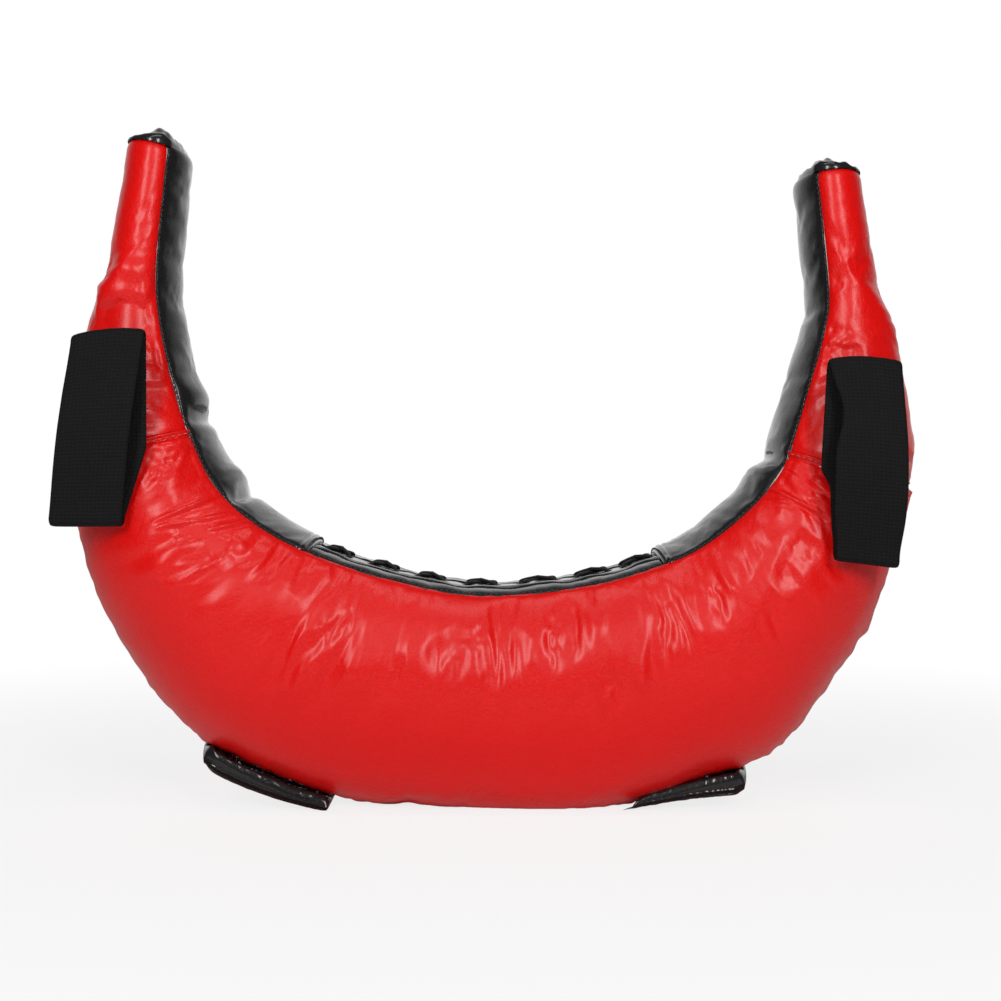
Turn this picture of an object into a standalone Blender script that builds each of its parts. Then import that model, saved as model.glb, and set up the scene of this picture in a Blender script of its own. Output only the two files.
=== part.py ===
"""A bulgarian bag: a stuffed crescent of coated leather with webbing hand loops and leather grips.

It stands on the bottom of its belly with both horns up. +X is to the right seen from the front, the
front faces -Y, and the origin is on the floor under the middle of the bag. All lengths are in metres.
"""

import math

import bmesh
import bpy
import numpy as np
from mathutils import Vector

# Bag outline
BAG_WIDTH = 0.520
BAG_HEIGHT = 0.407
HORN_GUSSET_WIDTH = 0.050
BELLY_GUSSET_WIDTH = 0.078
HORN_BULGE = 0.005
BELLY_BULGE = 0.023
GUSSET_CROWN = 0.003
CAP_CROWN = 0.008

# Walls and clearances
CLEARANCE = 0.0003
SKIN_THICKNESS = 0.002
PADDING_THICKNESS = 0.0045
LINER_THICKNESS = 0.001

# Lacing in the middle of the inner gusset
LACE_DIAMETER = 0.0026
LACE_HOLE_CLEARANCE = 0.0009
HOLE_ROW_OFFSET = 0.010
SLIT_WIDTH = 0.008
CROSS_LENGTH = 0.013
LACING_ZONE_HALF = 0.015
TONGUE_THICKNESS = 0.0012
TONGUE_HALF = 0.0135
LINER_MOUTH_HALF = 0.008
CROSS_COUNT = 7
LACE_LEAN_SHARE = 0.4

# Depths of the layers under the outer surface of the skin
PADDING_DEPTH = SKIN_THICKNESS + CLEARANCE
LINER_DEPTH = PADDING_DEPTH + PADDING_THICKNESS + CLEARANCE
SAND_DEPTH = LINER_DEPTH + LINER_THICKNESS + CLEARANCE
TONGUE_DEPTH = PADDING_DEPTH + LACE_DIAMETER + CLEARANCE
HOLE_DIAMETER = LACE_DIAMETER + 2 * LACE_HOLE_CLEARANCE

# Webbing hand loops
WEBBING_WIDTH = 0.042
WEBBING_THICKNESS = 0.0024
# How far in front of the gusset's edge the webbing comes out of the seam
LOOP_SEAM_REACH = 0.018
LOOP_GAP = 0.016
LEFT_LOOP_ABOVE = 0.062
LEFT_LOOP_BELOW = 0.040
RIGHT_LOOP_ABOVE = 0.054
RIGHT_LOOP_BELOW = 0.054
LEFT_LOOP_TILT = math.radians(7)
RIGHT_LOOP_TILT = math.radians(-1)
LEFT_LOOP_SHARE = 0.58
RIGHT_LOOP_SHARE = 0.46
FOLD_SHARE = 0.75
TAB_CLEARANCE = 0.0006
LOOP_STANDOFF = BELLY_GUSSET_WIDTH / 2 + LOOP_SEAM_REACH
FRONT_REACH = LOOP_STANDOFF + WEBBING_THICKNESS * (1 + 2 * FOLD_SHARE) + LOOP_GAP
BACK_REACH = BELLY_GUSSET_WIDTH / 2 + BELLY_BULGE

# Padded grips
GRIP_WIDTH = 0.030
GRIP_THICKNESS = 0.009
GRIP_LEATHER = 0.001
GRIP_STANDOFF = 0.0006
LEFT_GRIP_SKEW = 0
RIGHT_GRIP_SKEW = 0.036
GRIP_INNER_DROP = math.radians(4)
GRIP_OUTER_DROP = math.radians(24)
# Run from the sewn line and half thickness there, as shares of a grip's width and half thickness
GRIP_PROFILE_SHARES = ((0, 0.3), (0.2, 0.72), (0.42, 1), (0.6, 0.95), (0.76, 0.5), (0.84, 0.26), (1, 0.24))
GRIP_TAPER_SHARE = 0.4
CORE_START_SHARE = 0.14
CORE_END_SHARE = 0.74
POCKET_START_SHARE = 0.25

# Inner edge X and Z, then outer edge X and Z, as shares of the bag's width and height, then the share
# of the way from the horns' girth to the belly's. They run from the left tip round to the right one.
STATION_SHARES = (
    (-0.374, 0.988, -0.432, 1.004, 0.00),
    (-0.387, 0.816, -0.457, 0.820, 0.08),
    (-0.383, 0.726, -0.479, 0.728, 0.20),
    (-0.364, 0.622, -0.497, 0.613, 0.40),
    (-0.348, 0.565, -0.503, 0.513, 0.55),
    (-0.318, 0.487, -0.483, 0.381, 0.80),
    (-0.273, 0.431, -0.449, 0.272, 0.95),
    (-0.209, 0.386, -0.357, 0.114, 1.00),
    (-0.115, 0.346, -0.191, 0.014, 1.00),
    (-0.012, 0.323, -0.013, -0.012, 1.00),
    (0.106, 0.336, 0.127, -0.012, 1.00),
    (0.197, 0.368, 0.254, 0.039, 1.00),
    (0.244, 0.396, 0.338, 0.083, 0.97),
    (0.292, 0.444, 0.406, 0.195, 0.90),
    (0.325, 0.490, 0.453, 0.284, 0.75),
    (0.343, 0.533, 0.498, 0.473, 0.55),
    (0.366, 0.625, 0.499, 0.587, 0.35),
    (0.386, 0.713, 0.479, 0.709, 0.18),
    (0.391, 0.780, 0.460, 0.796, 0.08),
    (0.378, 0.950, 0.439, 0.956, 0.00),
)
# Places along the crescent, counted in stations from the left tip
LEFT_TIP = 0
LEFT_SEAM = 4
LEFT_GUSSET_SEAM = 7
RIGHT_GUSSET_SEAM = 11
RIGHT_SEAM = 15
RIGHT_TIP = len(STATION_SHARES) - 1
LEFT_GRIP_INNER = 8.0
LEFT_GRIP_OUTER = 7.15
RIGHT_GRIP_INNER = 10.6
RIGHT_GRIP_OUTER = 11.5
STEPS_PER_STATION = 2
TAB_STEPS = 6
FOLD_STEPS = 4
BOW_STEPS = 10
GRIP_STEPS = 8
DOME_ANGLES = (0, 30, 60, 80)
PANEL_COLUMNS = 8
GUSSET_COLUMNS = 4

HALF_GUSSET_COLUMNS = 2
HOLE_SIDES = 8
# How far apart two places are that give the crescent's direction between them
DIRECTION_SPAN = 0.5
SMOOTH_ANGLE = math.radians(40)

OUTWARD = np.array((0, -1, 0))

# Finishes: colour, then roughness
RED_LEATHER = ((0.72, 0.012, 0.012, 1), 0.22)
BLACK_LEATHER = ((0.012, 0.012, 0.013, 1), 0.3)
WEBBING = ((0.016, 0.016, 0.017, 1), 0.8)
LACE_CORD = ((0.012, 0.012, 0.012, 1), 0.6)
BLACK_FABRIC = ((0.02, 0.02, 0.02, 1), 0.7)
FELT = ((0.55, 0.55, 0.52, 1), 0.9)
LINER_FABRIC = ((0.3, 0.3, 0.28, 1), 0.8)
SAND = ((0.62, 0.5, 0.33, 1), 1.0)
STUFFING = ((0.45, 0.42, 0.38, 1), 0.95)
FOAM = ((0.5, 0.5, 0.5, 1), 0.9)


def clear_scene():
    for obj in list(bpy.data.objects):
        bpy.data.objects.remove(obj)


def station(u):
    """The five values of STATION_SHARES at place u, on a smooth curve through the stations."""
    table = np.array(STATION_SHARES)
    index = min(int(math.floor(u)), RIGHT_TIP - 1)
    index = max(index, 0)
    before, start, end, after = (table[min(max(index + k, 0), RIGHT_TIP)] for k in (-1, 0, 1, 2))
    t = u - index
    return 0.5 * (
        2 * start
        + (end - before) * t
        + (2 * before - 5 * start + 4 * end - after) * t**2
        + (3 * start - before - 3 * end + after) * t**3
    )


class Section:
    """The bag cut across at place u: an ellipse cut flat along the inner gusset."""

    def __init__(self, u):
        inner_x, inner_z, outer_x, outer_z, girth = station(u)
        self.inner = np.array((inner_x * BAG_WIDTH, 0, inner_z * BAG_HEIGHT))
        across = np.array((outer_x * BAG_WIDTH, 0, outer_z * BAG_HEIGHT)) - self.inner
        self.length = np.linalg.norm(across)
        self.across = across / self.length
        half_width = (HORN_GUSSET_WIDTH + (BELLY_GUSSET_WIDTH - HORN_GUSSET_WIDTH) * girth) / 2
        self.half_depth = half_width + HORN_BULGE + (BELLY_BULGE - HORN_BULGE) * girth
        flat_share = math.sqrt(1 - (half_width / self.half_depth) ** 2)
        self.radius = self.length / (1 + flat_share)
        self.middle = self.length - self.radius

    def place(self, along, y, depth):
        """The point this far from the inner edge towards the outer one, kept above the floor by a depth."""
        x, _, z = self.inner + self.across * along
        return np.array((x, y, max(z, depth)))

    def edge_angle(self, depth):
        return math.acos(-(self.middle - depth) / (self.radius - depth))

    def panel(self, t, depth, front=True):
        """A point of the front or back panel, t running from the inner seam to the outer one."""
        trim = CLEARANCE / (2 * self.length)
        angle = self.edge_angle(depth) * (1 - trim - (1 - 2 * trim) * t)
        along = self.middle + (self.radius - depth) * math.cos(angle)
        y = (self.half_depth - depth) * math.sin(angle)
        return self.place(along, -y if front else y, depth)

    def gusset_half(self, depth):
        return (self.half_depth - depth) * math.sin(self.edge_angle(depth))

    def gusset(self, y, depth):
        """A point of the inner gusset at this y."""
        half = self.gusset_half(depth)
        crown = GUSSET_CROWN * (1 - (y / half) ** 2)
        return self.place(depth - crown, y, depth)


def middle_of(u):
    section = Section(u)
    return section.place(section.middle, 0, 0)


def stations_per_metre(u):
    before, after = u - DIRECTION_SPAN, u + DIRECTION_SPAN
    return (after - before) / np.linalg.norm(middle_of(after) - middle_of(before))


def places(start, end, inset=CLEARANCE / 2):
    """Places from start to end, a whole number of steps apart, with both ends drawn in by the inset."""
    count = round((end - start) * STEPS_PER_STATION)
    us = list(np.linspace(start, end, count + 1))
    us[0] += inset * stations_per_metre(start)
    us[-1] -= inset * stations_per_metre(end)
    return us


def new_material(name, finish):
    colour, roughness = finish
    material = bpy.data.materials.new(name)
    material.use_nodes = True
    shader = material.node_tree.nodes["Principled BSDF"]
    shader.inputs["Base Color"].default_value = colour
    shader.inputs["Roughness"].default_value = roughness
    shader.inputs["Metallic"].default_value = 0
    return material


def new_object(name, bm, finish):
    """One named object with its own material, its faces turned outwards and its round sides smooth.

    Each quad is split along its shorter diagonal, so that layers which lie close together stay parallel.
    """
    mesh = bpy.data.meshes.new(name)
    bmesh.ops.triangulate(bm, faces=bm.faces, quad_method="SHORT_EDGE")
    bmesh.ops.recalc_face_normals(bm, faces=bm.faces)
    bm.to_mesh(mesh)
    bm.free()
    mesh.shade_smooth()
    mesh.set_sharp_from_angle(angle=SMOOTH_ANGLE)
    mesh.materials.append(new_material(name, finish))
    obj = bpy.data.objects.new(name, mesh)
    bpy.context.scene.collection.objects.link(obj)
    return obj


def join_rows(bm, first, second, closed):
    """Quads between two rows of vertices."""
    count = len(first)
    for j in range(count if closed else count - 1):
        k = (j + 1) % count
        bm.faces.new((first[j], first[k], second[k], second[j]))


def wall(outer, inner, closed=False):
    """A sheet between an outer and an inner grid of points, its edges closed by narrow faces.

    With closed set, each row is a ring: the first and last rows of both grids are filled, and the ring's
    own first and last points stay apart, so the sheet is a sleeve with a slit and two ends.
    """
    bm = bmesh.new()
    outer_rows = [[bm.verts.new(p) for p in row] for row in outer]
    inner_rows = [[bm.verts.new(p) for p in row] for row in inner]
    for rows in (outer_rows, inner_rows):
        for first, second in zip(rows, rows[1:]):
            join_rows(bm, first, second, False)
    for j in (0, -1):
        join_rows(bm, [row[j] for row in outer_rows], [row[j] for row in inner_rows], False)
    for i in (0, -1):
        if closed:
            bm.faces.new(outer_rows[i])
            bm.faces.new(inner_rows[i])
            bm.faces.new((outer_rows[i][0], outer_rows[i][-1], inner_rows[i][-1], inner_rows[i][0]))
        else:
            join_rows(bm, outer_rows[i], inner_rows[i], False)
    return bm


def loft(rings):
    """A solid through closed rings of points, with both end rings filled."""
    bm = bmesh.new()
    rows = [[bm.verts.new(p) for p in ring] for ring in rings]
    for first, second in zip(rows, rows[1:]):
        join_rows(bm, first, second, True)
    bm.faces.new(rows[0])
    bm.faces.new(rows[-1])
    return bm


def shares(count):
    return [k / count for k in range(count + 1)]


def panel_row(u, depth, front):
    section = Section(u)
    return [section.panel(t, depth, front) for t in shares(PANEL_COLUMNS)]


def gusset_row(u, depth, start, end, columns=GUSSET_COLUMNS):
    """Points of the inner gusset from y start to y end, where None is the seam with a panel."""
    section = Section(u)
    limit = section.gusset_half(depth) - CLEARANCE / 2
    first = -limit if start is None else start
    last = limit if end is None else end
    return [section.gusset(first + (last - first) * t, depth) for t in shares(columns)]


def ring(u, depth, slit_half=None):
    """The whole outline of the section at one depth, from the gusset's middle round by the front."""
    if slit_half is None:
        front = gusset_row(u, depth, None, 0, HALF_GUSSET_COLUMNS)[::-1]
    else:
        front = gusset_row(u, depth, None, -slit_half, HALF_GUSSET_COLUMNS)[::-1]
    outline = front + panel_row(u, depth, True)[1:-1]
    back = [p * (1, -1, 1) for p in outline]
    bottom = Section(u).panel(1, depth, True) * (1, 0, 1)
    return outline + [bottom] + (back[::-1] if slit_half else back[:0:-1])


def make_panel(name, start, end, front):
    us = places(start, end)
    bm = wall(
        [panel_row(u, 0, front) for u in us],
        [panel_row(u, SKIN_THICKNESS, front) for u in us],
    )
    return new_object(name, bm, RED_LEATHER)


def make_panels():
    for side, front in (("front", True), ("back", False)):
        make_panel(side + "_left_horn_panel", LEFT_TIP, LEFT_SEAM, front)
        make_panel(side + "_belly_panel", LEFT_SEAM, RIGHT_SEAM, front)
        make_panel(side + "_right_horn_panel", RIGHT_SEAM, RIGHT_TIP, front)


def make_inner_gussets():
    for name, start, end in (
        ("inner_gusset_left", LEFT_TIP, LEFT_GUSSET_SEAM),
        ("inner_gusset_right", RIGHT_GUSSET_SEAM, RIGHT_TIP),
    ):
        us = places(start, end)
        bm = wall(
            [gusset_row(u, 0, None, None) for u in us],
            [gusset_row(u, SKIN_THICKNESS, None, None) for u in us],
        )
        new_object(name, bm, BLACK_LEATHER)


def make_plackets_and_tongue():
    """The two leather edges that the lace draws together, and the tongue under the slit between them."""
    us = places(LEFT_GUSSET_SEAM, RIGHT_GUSSET_SEAM)
    for name, start, end in (
        ("lace_placket_front", None, -SLIT_WIDTH / 2),
        ("lace_placket_back", SLIT_WIDTH / 2, None),
    ):
        bm = wall(
            [gusset_row(u, 0, start, end) for u in us],
            [gusset_row(u, SKIN_THICKNESS, start, end) for u in us],
        )
        placket = new_object(name, bm, BLACK_LEATHER)
        punch(placket, -1 if end else 1)
    new_object("lace_tongue", strip(us, TONGUE_DEPTH, TONGUE_THICKNESS, TONGUE_HALF), BLACK_FABRIC)


def strip(us, depth, thickness, half):
    """A band along the middle of the gusset, this deep under it."""
    upper, lower = (
        [gusset_row(u, level, -half, half, HALF_GUSSET_COLUMNS) for u in us]
        for level in (depth, depth + thickness)
    )
    return wall(upper, lower)


def crosses():
    """The places of the lace's crosses, evenly spread between the two gusset seams."""
    step = (RIGHT_GUSSET_SEAM - LEFT_GUSSET_SEAM) / CROSS_COUNT
    return [LEFT_GUSSET_SEAM + step * (k + 0.5) for k in range(CROSS_COUNT)]


def lace_place(u, along, y, depth):
    """A point beside place u, this far along the crescent, at this y and depth of the gusset."""
    return Section(u + along * stations_per_metre(u)).gusset(y, depth)


def punch(placket, side):
    """Cuts the lace's holes, two for each cross, through one placket."""
    bm = bmesh.new()
    for u in crosses():
        for along in (-CROSS_LENGTH / 2, CROSS_LENGTH / 2):
            top = Vector(lace_place(u, along, side * HOLE_ROW_OFFSET, -SKIN_THICKNESS))
            bottom = Vector(lace_place(u, along, side * HOLE_ROW_OFFSET, 2 * SKIN_THICKNESS))
            turn = (top - bottom).to_track_quat("Z", "Y").to_matrix().to_4x4()
            turn.translation = (top + bottom) / 2
            bmesh.ops.create_cone(
                bm,
                cap_ends=True,
                segments=HOLE_SIDES,
                radius1=HOLE_DIAMETER / 2,
                radius2=HOLE_DIAMETER / 2,
                depth=(top - bottom).length,
                matrix=turn,
            )
    cut(placket, cutter(placket.name + "_punches", bm))


def cutter(name, bm):
    obj = new_object(name, bm, BLACK_LEATHER)
    obj.hide_render = True
    obj.display_type = "WIRE"
    return obj


def cut(obj, tool):
    modifier = obj.modifiers.new(tool.name, "BOOLEAN")
    modifier.operation = "DIFFERENCE"
    modifier.object = tool


def lace_route():
    """The lace's points: up through a hole, across, back under the leather, up and across once more."""
    half, row, lean = CROSS_LENGTH / 2, HOLE_ROW_OFFSET, LACE_DIAMETER * LACE_LEAN_SHARE
    over = -(LACE_DIAMETER / 2 + CLEARANCE)
    high = over - LACE_DIAMETER - CLEARANCE
    under = SKIN_THICKNESS + CLEARANCE + LACE_DIAMETER / 2
    route = []
    for u in crosses():
        for along, y, depth in (
            (-half - lean, -row, under),
            (-half, -row, SKIN_THICKNESS / 2),
            (-half + lean, -row + lean, over),
            (0, 0, over),
            (half - lean, row - lean, over),
            (half, row, SKIN_THICKNESS / 2),
            (half - lean, row, under),
            (-half + lean, row, under),
            (-half, row, SKIN_THICKNESS / 2),
            (-half + lean, row - lean, over),
            (-lean, lean, high),
            (lean, -lean, high),
            (half - lean, -row + lean, over),
            (half, -row, SKIN_THICKNESS / 2),
            (half + lean, -row, under),
        ):
            route.append(lace_place(u, along, y, depth))
    return route


def make_lace():
    curve = bpy.data.curves.new("lace", "CURVE")
    curve.dimensions = "3D"
    curve.bevel_depth = LACE_DIAMETER / 2
    curve.bevel_resolution = 1
    curve.use_fill_caps = True
    curve.twist_mode = "MINIMUM"
    route = lace_route()
    spline = curve.splines.new("POLY")
    spline.points.add(len(route) - 1)
    for point, place in zip(spline.points, route):
        point.co = (*place, 1)
    obj = bpy.data.objects.new("lace", curve)
    bpy.context.scene.collection.objects.link(obj)
    curve.materials.append(new_material("lace", LACE_CORD))
    return obj


def make_padding(name, front):
    """One half of the soft lining under the skin, from beside the lacing round to the bottom."""
    us = places(LEFT_SEAM, RIGHT_SEAM)
    grids = []
    for depth in (PADDING_DEPTH, PADDING_DEPTH + PADDING_THICKNESS):
        rows = []
        for u in us:
            top = gusset_row(u, depth, None, -LACING_ZONE_HALF, HALF_GUSSET_COLUMNS)[::-1]
            rows.append([p * (1, 1 if front else -1, 1) for p in top + panel_row(u, depth, True)[1:]])
        grids.append(rows)
    new_object(name, wall(*grids), FELT)


def make_liner_and_filling():
    """The liner bag with its mouth under the lacing, the strip that closes it, and the sand inside."""
    end = CLEARANCE / 2
    outer = [ring(u, LINER_DEPTH, LINER_MOUTH_HALF) for u in places(LEFT_SEAM, RIGHT_SEAM, end)]
    inner_us = places(LEFT_SEAM, RIGHT_SEAM, end + LINER_THICKNESS)
    inner = [ring(u, LINER_DEPTH + LINER_THICKNESS, LINER_MOUTH_HALF) for u in inner_us]
    new_object("liner_bag", wall(outer, inner, closed=True), LINER_FABRIC)

    end += LINER_THICKNESS + CLEARANCE
    us = places(LEFT_SEAM, RIGHT_SEAM, end)
    closure = strip(us, LINER_DEPTH, LINER_THICKNESS, LINER_MOUTH_HALF - CLEARANCE)
    new_object("liner_closure_strip", closure, BLACK_FABRIC)
    new_object("sand_fill", loft([ring(u, SAND_DEPTH) for u in us]), SAND)


def dome(tip, depth, crown):
    """Rings of points that close a horn's tip with a low dome of this height, from its foot up."""
    towards = DIRECTION_SPAN if tip == LEFT_TIP else -DIRECTION_SPAN
    outward = middle_of(tip) - middle_of(tip + towards)
    outward /= np.linalg.norm(outward)
    foot = np.array(ring(tip, depth))
    middle = foot.mean(axis=0)
    rings = []
    for angle in np.radians(DOME_ANGLES):
        rings.append(middle + (foot - middle) * math.cos(angle) + outward * crown * math.sin(angle))
    return rings, outward


def make_end_cap(name, tip):
    """The leather cap over a horn's tip, open underneath."""
    outer, outward = dome(tip, 0, CAP_CROWN)
    inner, _ = dome(tip, SKIN_THICKNESS, CAP_CROWN - SKIN_THICKNESS)
    lift = outward * CLEARANCE
    bm = loft([row + lift for row in outer[::-1] + inner])
    new_object(name, bm, BLACK_LEATHER)


def make_horn_stuffing(name, tip, seam):
    """The firm stuffing of a horn, domed under the cap."""
    us = places(min(tip, seam), max(tip, seam), CLEARANCE)
    if tip != LEFT_TIP:
        us = us[::-1]
    domed, _ = dome(tip, PADDING_DEPTH, CAP_CROWN - PADDING_DEPTH)
    rings = domed[::-1] + [ring(u, PADDING_DEPTH) for u in us[1:]]
    new_object(name, loft(rings), STUFFING)


class LoopFrame:
    """Where a hand loop sits: its origin on the seam, and the directions along and across the webbing."""

    def __init__(self, seam, place_share, tilt, below, above):
        self.below, self.above = below, above
        self.section = Section(seam)
        self.along = self.section.length * place_share
        self.origin = self.section.place(self.along, -LOOP_STANDOFF, 0)
        self.up = np.array((math.sin(tilt), 0, math.cos(tilt)))
        self.side = np.array((math.cos(tilt), 0, -math.sin(tilt)))

    def ribbon(self, profile):
        """Webbing along a profile of (up, out) pairs, which is its middle line."""
        points = [self.origin + self.up * up + OUTWARD * out for up, out in profile]
        rings = []
        for before, point, after in zip([points[0]] + points, points, points[1:] + [points[-1]]):
            run = after - before
            normal = np.cross(run / np.linalg.norm(run), self.side) * WEBBING_THICKNESS / 2
            side = self.side * WEBBING_WIDTH / 2
            low, high = point - normal, point + normal
            rings.append([low - side, low + side, high + side, high - side])
        return loft(rings)


def back_leg(frame):
    """The straight leg that lies near the skin, through the seam."""
    return frame.ribbon([(height, WEBBING_THICKNESS / 2) for height in (-frame.below, 0, frame.above)])


def front_leg(frame):
    """The bowed leg with both folds, which meets the back leg's two ends."""
    fold = WEBBING_THICKNESS * FOLD_SHARE
    start = WEBBING_THICKNESS / 2
    low, high = -frame.below - CLEARANCE, frame.above + CLEARANCE
    angles = [math.pi * k / FOLD_STEPS for k in range(FOLD_STEPS + 1)]
    turn = [(0, 0)] + [(fold * (1 + math.sin(a)), fold * (1 - math.cos(a))) for a in angles]
    profile = [(low - up, start + out) for up, out in turn]
    for k in range(1, BOW_STEPS):
        t = k / BOW_STEPS
        profile.append((low + (high - low) * t, start + 2 * fold + LOOP_GAP * math.sin(math.pi * t) ** 2))
    profile += [(high + up, start + out) for up, out in turn[::-1]]
    return frame.ribbon(profile)


def tab_body(frame, grown):
    """The webbing's sewn root, from inside the seam out to the loop, grown all round to cut its notch."""
    section = frame.section
    normal = np.cross(section.across, OUTWARD) * (WEBBING_THICKNESS + grown)
    half = (WEBBING_WIDTH - WEBBING_THICKNESS) / 2 + grown
    depth = SKIN_THICKNESS / 2 + grown
    top = section.inner * (1, 0, 1) + OUTWARD * (LOOP_STANDOFF - TAB_CLEARANCE + grown)
    rings = []
    for t in shares(TAB_STEPS):
        along = frame.along + half * (2 * t - 1)
        angle = math.acos((along - section.middle) / (section.radius - depth))
        root = section.place(along, -(section.half_depth - depth) * math.sin(angle), 0)
        crest = top + section.across * along
        rings.append([root - normal, root + normal, crest + normal, crest - normal])
    return loft(rings)


def make_hand_loop(side, frame):
    new_object(side + "_strap_tab", tab_body(frame, 0), WEBBING)
    notch = cutter(side + "_strap_notch", tab_body(frame, CLEARANCE))
    for panel in ("front_belly_panel", "front_" + side + "_horn_panel"):
        cut(bpy.data.objects[panel], notch)
    hinge = empty_at(side + "_strap_hinge", frame.origin)
    hang(new_object(side + "_strap_back", back_leg(frame), WEBBING), hinge)
    stretch = empty_at(side + "_strap_stretch", frame.origin)
    hang(stretch, hinge)
    hang(new_object(side + "_strap_front", front_leg(frame), WEBBING), stretch)


def empty_at(name, place):
    empty = bpy.data.objects.new(name, None)
    empty.location = place
    bpy.context.scene.collection.objects.link(empty)
    return empty


def hang(obj, parent):
    """Parents an object and leaves it where it is."""
    bpy.context.view_layer.update()
    obj.parent = parent
    obj.matrix_parent_inverse = parent.matrix_world.inverted()


class GripFrame:
    """A grip's sewn edge, which follows the bag's outer seam, and the straight line that it folds about."""

    def __init__(self, inner_place, outer_place, skew):
        self.places = (inner_place, outer_place)
        seam = [self.root(share) for share in shares(GRIP_STEPS)]
        self.line = (seam[-1] - seam[0]) / np.linalg.norm(seam[-1] - seam[0])
        self.outward = np.cross(self.line, OUTWARD)
        self.outward *= math.copysign(1, -self.outward[2])
        bow = max(np.dot(place - seam[0], self.outward) for place in seam)
        self.fold_middle = (seam[0] + seam[-1]) / 2 + self.outward * bow
        self.skew = skew

    def root(self, share):
        section = Section(self.places[0] + (self.places[1] - self.places[0]) * share)
        return section.place(section.length + GRIP_STANDOFF + grip_half(0, share), 0, 0)

    def outline(self, share, rows):
        """A ring through (run, half thickness) rows, this share of the way from inner end to outer end.

        The skew draws the free edge's inner end out along the seam, and less so towards the sewn line.
        """
        drop = GRIP_INNER_DROP + (GRIP_OUTER_DROP - GRIP_INNER_DROP) * share
        hanging = OUTWARD * math.cos(drop) + self.outward * math.sin(drop)
        facing = self.outward * math.cos(drop) - OUTWARD * math.sin(drop)
        slide = self.line * (1, 0, 0) * self.skew * (share - 1)
        root = self.root(share)
        middle = [root + hanging * run + slide * (run / GRIP_WIDTH) ** 2 for run, _ in rows]
        upper = [m - facing * half for m, (_, half) in zip(middle, rows)]
        lower = [m + facing * half for m, (_, half) in zip(middle, rows)]
        return upper + lower[::-1]


def grip_half(run, share):
    """Half of a grip's thickness, this far from its sewn line."""
    runs, halves = zip(*GRIP_PROFILE_SHARES)
    full = GRIP_THICKNESS / 2 * np.interp(run / GRIP_WIDTH, runs, halves)
    return full * (GRIP_TAPER_SHARE + (1 - GRIP_TAPER_SHARE) * share)


def grip_rows(share, inset):
    """(run, half thickness) rows of the padded part, drawn in by the inset."""
    start, end = CORE_START_SHARE * GRIP_WIDTH + inset, CORE_END_SHARE * GRIP_WIDTH - inset
    runs = np.linspace(start, end, len(GRIP_PROFILE_SHARES))
    return [(run, grip_half(run, share) - inset) for run in runs]


def make_grip(side, inner_place, outer_place, skew):
    """The folded leather cover of a grip, open at its outer end, and the foam core inside it."""
    frame = GripFrame(inner_place, outer_place, skew)
    outer, inner, core = [], [], []
    for share in shares(GRIP_STEPS):
        rows = [(run * GRIP_WIDTH, grip_half(run * GRIP_WIDTH, share)) for run, _ in GRIP_PROFILE_SHARES]
        outer.append(frame.outline(share, rows))
        if share >= POCKET_START_SHARE:
            inner.append(frame.outline(share, grip_rows(share, GRIP_LEATHER)))
        if POCKET_START_SHARE < share < 1:
            core.append(frame.outline(share, grip_rows(share, GRIP_LEATHER + CLEARANCE)))
    hinge = empty_at(side + "_grip_hinge", frame.fold_middle)
    cover = new_object(side + "_grip_cover", loft(outer + inner[::-1]), BLACK_LEATHER)
    foam = new_object(side + "_grip_core", loft(core), FOAM)
    hang(cover, hinge)
    hang(foam, hinge)


def stand_over_origin():
    """Moves the whole bag back, so that the origin is in the middle of its depth with the loops counted."""
    middle = empty_at("bag_middle", (0, (FRONT_REACH - BACK_REACH) / 2, 0))
    for obj in bpy.data.objects:
        if obj.parent is None and obj is not middle:
            obj.parent = middle


clear_scene()
make_panels()
make_inner_gussets()
make_plackets_and_tongue()
make_lace()
make_padding("padding_front", True)
make_padding("padding_back", False)
make_liner_and_filling()
make_end_cap("left_end_cap", LEFT_TIP)
make_end_cap("right_end_cap", RIGHT_TIP)
make_horn_stuffing("left_horn_stuffing", LEFT_TIP, LEFT_SEAM)
make_horn_stuffing("right_horn_stuffing", RIGHT_TIP, RIGHT_SEAM)
left_loop = LoopFrame(LEFT_SEAM, LEFT_LOOP_SHARE, LEFT_LOOP_TILT, LEFT_LOOP_BELOW, LEFT_LOOP_ABOVE)
right_loop = LoopFrame(RIGHT_SEAM, RIGHT_LOOP_SHARE, RIGHT_LOOP_TILT, RIGHT_LOOP_BELOW, RIGHT_LOOP_ABOVE)
make_hand_loop("left", left_loop)
make_hand_loop("right", right_loop)
make_grip("left", LEFT_GRIP_INNER, LEFT_GRIP_OUTER, LEFT_GRIP_SKEW)
make_grip("right", RIGHT_GRIP_INNER, RIGHT_GRIP_OUTER, RIGHT_GRIP_SKEW)
stand_over_origin()
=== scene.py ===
import math

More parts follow.
